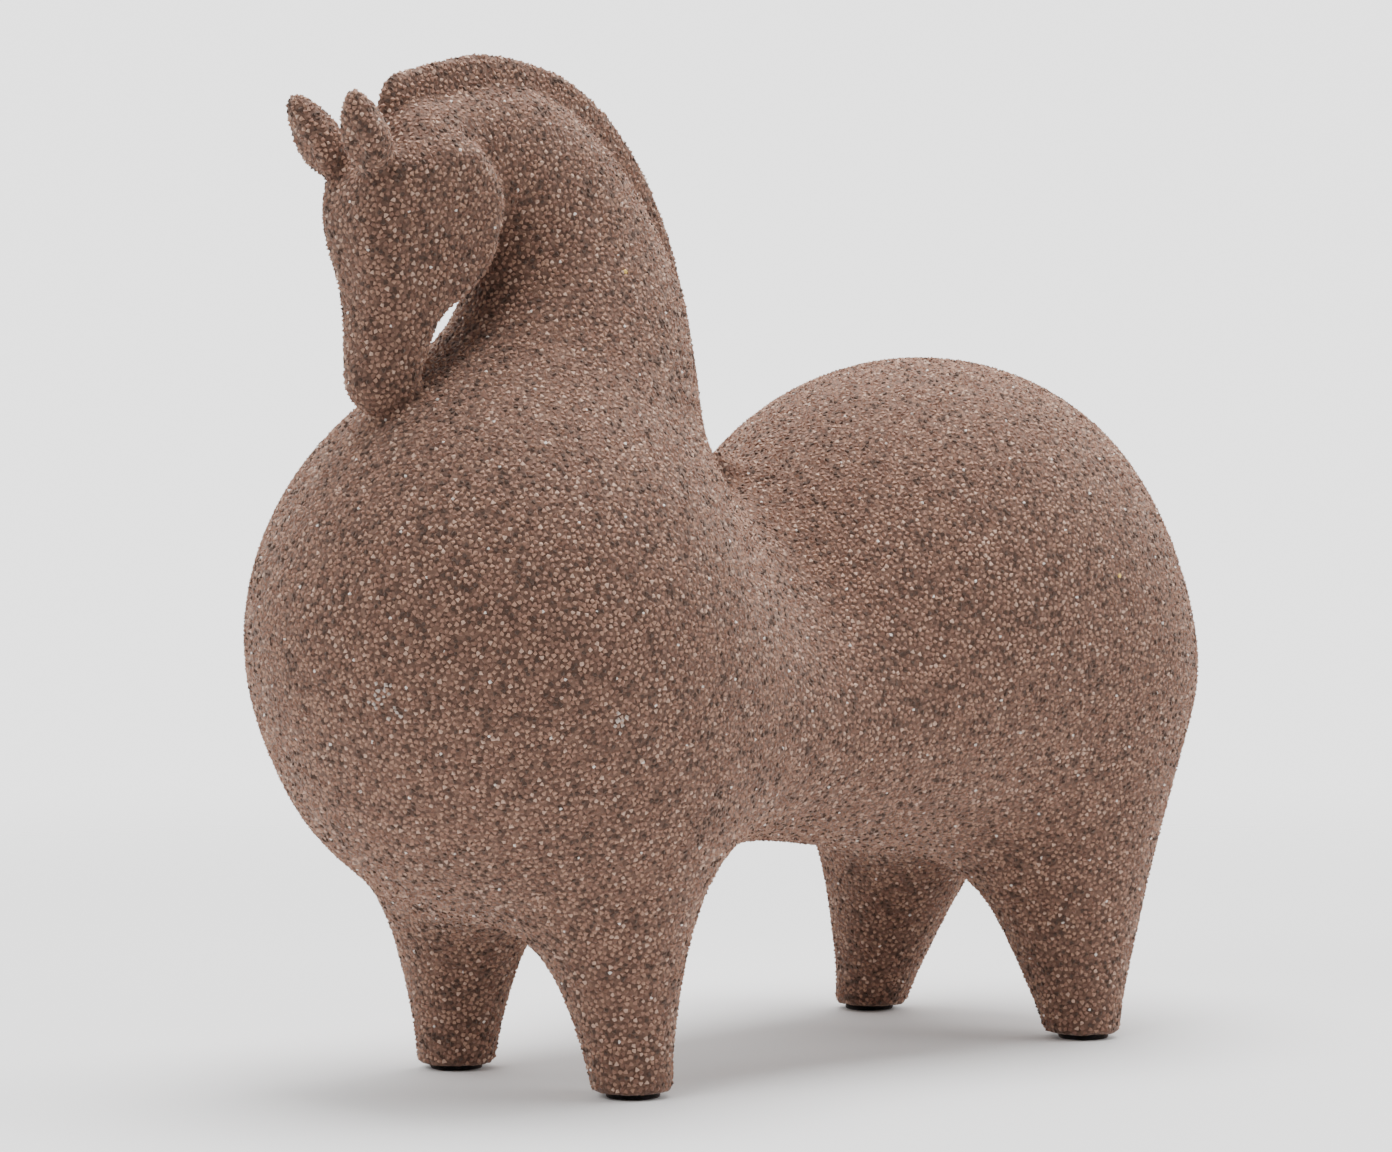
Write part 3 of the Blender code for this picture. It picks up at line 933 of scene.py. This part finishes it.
class FibreTree:
    """A Geometry Nodes tree that stands short fibres on a surface."""

    # A fibre is a thin cone of three sides, whose tip has this share of its width.
    SIDES = 3
    TIP_SHARE = 0.1

    def __init__(self, finish: FeltFinish) -> None:
        """Builds the tree for one felt.

        Args:
            finish: The felt, whose fibre sizes the tree holds.
        """
        inputs = {"Surface": "Geometry", "Density": "Float", "Seed": "Int", "Material": "Material"}
        self.tree = new_tree("felt_fibres", inputs, "Felt")
        given = add_node(self.tree, "NodeGroupInput").outputs
        points = add_node(
            self.tree,
            "GeometryNodeDistributePointsOnFaces",
            links={"Mesh": given["Surface"], "Density": given["Density"], "Seed": given["Seed"]},
        )
        fibre = add_node(
            self.tree,
            "GeometryNodeMeshCone",
            values={
                "Vertices": self.SIDES,
                "Radius Top": self.TIP_SHARE * finish.fibre_width_mm * MILLIMETRE,
                "Radius Bottom": 0.5 * finish.fibre_width_mm * MILLIMETRE,
                "Depth": finish.fibre_mm * MILLIMETRE,
            },
        )
        stood = {"Instance": fibre.outputs["Mesh"], "Rotation": random_turn(self.tree, given["Seed"])}
        fibres = realized(self.tree, points.outputs["Points"], stood)
        whole = add_node(self.tree, "GeometryNodeJoinGeometry", links={"Geometry": given["Surface"]})
        self.tree.links.new(fibres, whole.inputs["Geometry"])
        end_tree(self.tree, whole.outputs["Geometry"], given["Material"], "Felt")


@dataclass
class FeltPad:
    """One round felt pad with a soft rim and stray fibres."""

    node: str
    seed: int
    sides: int = 72
    rim_rings: int = 6
    rim_pull: float = 0.5
    sharp_degrees: float = 50.0

    def build(self, fibres: FibreTree, material: bpy.types.Material) -> bpy.types.Object:
        """Makes the pad in the space of its CAD node.

        Args:
            fibres: The tree that adds the fibres.
            material: The felt.

        Returns:
            The pad as a plain mesh object.
        """
        low, high = (Vector(corner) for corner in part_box(self.node))
        name = f"{self.node}_work"
        surface = new_object(name, mesh_from(self._disc(low, high), name))
        area = sum(face.area for face in surface.data.polygons)
        inputs = {"Density": FELT.fibre_count / area, "Seed": self.seed, "Material": material}
        run_tree(surface, fibres.tree, inputs)
        made = baked(surface, self.node.replace("pad", "felt_pad"))
        self._keep_within(made, low, high)
        made.data.shade_smooth()
        made.data.set_sharp_from_angle(angle=math.radians(self.sharp_degrees))
        return made

    def _disc(self, low: Vector, high: Vector) -> bmesh.types.BMesh:
        """A round disc whose side bulges, so that its rim looks soft.

        Args:
            low: The low corner of the pad's box.
            high: Its high corner.

        Returns:
            The closed disc.
        """
        middle = 0.5 * (low + high)
        radius = 0.5 * (high.x - low.x)
        half = 0.5 * (high.z - low.z)
        work = bmesh.new()
        rings = []
        for ring in range(self.rim_rings + 1):
            angle = math.pi * (ring / self.rim_rings - 0.5)
            reach = radius - self.rim_pull * half * (1.0 - math.cos(angle))
            height = middle.z + half * math.sin(angle)
            rings.append([
                work.verts.new((
                    middle.x + reach * math.cos(math.tau * side / self.sides),
                    middle.y + reach * math.sin(math.tau * side / self.sides),
                    height,
                ))
                for side in range(self.sides)
            ])
        for lower, upper in zip(rings, rings[1:]):
            for side in range(self.sides):
                after = (side + 1) % self.sides
                work.faces.new((lower[side], lower[after], upper[after], upper[side]))
        work.faces.new(reversed(rings[0]))
        work.faces.new(rings[-1])
        return work

    @staticmethod
    def _keep_within(made: bpy.types.Object, low: Vector, high: Vector) -> None:
        """Presses the fibres that reach past the pad's faces flat onto them.

        Args:
            made: The pad.
            low: The low corner of its box.
            high: Its high corner.
        """
        for corner in made.data.vertices:
            corner.co.z = min(max(corner.co.z, low.z), high.z)


@dataclass
class HorseFigure:
    """The whole dressed figure."""

    frame: dict[str, Any]

    def build(self) -> None:
        """Builds every piece and joins it to the part."""
        skin = Skin("horse").build(self.frame)
        join_the_part(skin, "sand_coat", "horse")
        for grains in SandCoat(skin, ScatterTree()).build():
            join_the_part(grains, "sand_coat")
        felt = Materials.felt(FELT)
        fibres = FibreTree(FELT)
        names = sorted(name for name in self.frame["nodes"] if name.startswith("pad_"))
        for number, name in enumerate(names):
            join_the_part(FeltPad(name, number).build(fibres, felt), "black_felt", name)


@dataclass(frozen=True)
class SoftBox:
    """A square area light: where it stands, how wide it is and how strong."""

    name: str
    place: tuple[float, float, float]
    size: float
    power: float

    def build(self, aim: Vector) -> None:
        """Adds the light, turned towards the aim.

        Args:
            aim: The point that the light looks at.
        """
        lamp = bpy.data.lights.new(self.name, "AREA")
        lamp.energy = self.power
        lamp.size = self.size
        held = bpy.data.objects.new(self.name, lamp)
        held.location = self.place
        held.rotation_euler = (aim - held.location).to_track_quat("-Z", "Y").to_euler()
        bpy.context.scene.collection.objects.link(held)


@dataclass(frozen=True)
class Studio:
    """A pale floor that fades into a white light tent, with three soft boxes."""

    floor_colour: str = "#F2F2F2"
    floor_roughness: float = 0.9
    floor_radius: float = 1.0
    floor_sides: int = 96
    floor_fades_from: float = 0.22
    floor_fades_to: float = 0.85
    tent_colour: str = "#FFFFFF"
    camera_side: float = 0.08
    camera_side_starts: float = 0.5
    far_side: float = 2.6
    aim: tuple[float, float, float] = (0.0, 0.0, 0.13)
    boxes: tuple[SoftBox, ...] = (
        SoftBox("overhead", (0.0, 0.10, 1.3), 0.9, 27.0),
        SoftBox("front", (0.10, -1.15, 1.0), 0.7, 9.5),
        SoftBox("right", (0.95, 0.80, 0.75), 0.7, 6.0),
    )

    def build(self, towards_camera: Vector) -> None:
        """Adds the floor, the tent's light and the soft boxes.

        Args:
            towards_camera: The unit direction from the figure to the camera.
        """
        self._floor()
        self._world(towards_camera)
        for box in self.boxes:
            box.build(Vector(self.aim))

    def _floor(self) -> None:
        """A round plain floor under the pads, clear at its rim."""
        work = bmesh.new()
        bmesh.ops.create_circle(work, cap_ends=True, segments=self.floor_sides, radius=self.floor_radius)
        mesh = mesh_from(work, "floor")
        material = bpy.data.materials.new("floor_white")
        material.use_nodes = True
        tree = material.node_tree
        shader = tree.nodes["Principled BSDF"]
        shader.inputs["Base Color"].default_value = linear(self.floor_colour)
        shader.inputs["Roughness"].default_value = self.floor_roughness
        place = add_node(tree, "ShaderNodeTexCoord").outputs["Object"]
        away = add_node(tree, "ShaderNodeVectorMath", {"operation": "LENGTH"}, links={0: place})
        cover = add_node(
            tree,
            "ShaderNodeMapRange",
            settings={"interpolation_type": "SMOOTHSTEP"},
            values={
                "From Min": self.floor_fades_from,
                "From Max": self.floor_fades_to,
                "To Min": 1.0,
                "To Max": 0.0,
            },
            links={"Value": away.outputs["Value"]},
        )
        tree.links.new(cover.outputs["Result"], shader.inputs["Alpha"])
        mesh.materials.append(material)
        new_object("floor", mesh)

    def _world(self, towards_camera: Vector) -> None:
        """Light from all round that falls off smoothly towards the camera's side.

        Args:
            towards_camera: The unit direction from the figure to the camera.
        """
        world = bpy.data.worlds.new("tent")
        bpy.context.scene.world = world
        world.use_nodes = True
        tree = world.node_tree
        facing = add_node(
            tree,
            "ShaderNodeVectorMath",
            settings={"operation": "DOT_PRODUCT"},
            values={1: tuple(towards_camera)},
            links={0: add_node(tree, "ShaderNodeTexCoord").outputs["Generated"]},
        )
        strength = add_node(
            tree,
            "ShaderNodeMapRange",
            values={
                "From Min": -1.0,
                "From Max": self.camera_side_starts,
                "To Min": self.far_side,
                "To Max": self.camera_side,
            },
            links={"Value": facing.outputs["Value"]},
        )
        light = tree.nodes["Background"].inputs
        light["Color"].default_value = linear(self.tent_colour)
        tree.links.new(strength.outputs["Result"], light["Strength"])


@dataclass(frozen=True)
class View:
    """The photograph's view of the figure."""

    azimuth: float = math.radians(46.7)
    elevation: float = math.radians(2.3)
    distance: float = 1.155
    aim: tuple[float, float, float] = (-0.01313, -0.00170, 0.1210)
    sensor: float = 36.0
    lens: float = 117.58
    nearest: float = 0.01

    @property
    def towards_camera(self) -> Vector:
        """The unit direction from the figure to the camera."""
        level = math.cos(self.elevation)
        return Vector((
            math.sin(self.azimuth) * level,
            -math.cos(self.azimuth) * level,
            math.sin(self.elevation),
        ))

    def build(self) -> None:
        """Adds the camera and makes it the scene's."""
        camera = bpy.data.cameras.new("camera")
        camera.sensor_width = self.sensor
        camera.lens = self.lens
        camera.clip_start = self.nearest
        held = bpy.data.objects.new("camera", camera)
        held.location = Vector(self.aim) + self.distance * self.towards_camera
        held.rotation_euler = (-self.towards_camera).to_track_quat("-Z", "Y").to_euler()
        bpy.context.scene.collection.objects.link(held)
        bpy.context.scene.camera = held


def main() -> None:
    """Builds the scene round the frame."""
    logging.basicConfig(level=logging.INFO, format="%(name)s: %(message)s")
    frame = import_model()
    view = View()
    view.build()
    Studio().build(view.towards_camera)
    HorseFigure(frame).build()


if __name__ == "__main__":
    main()
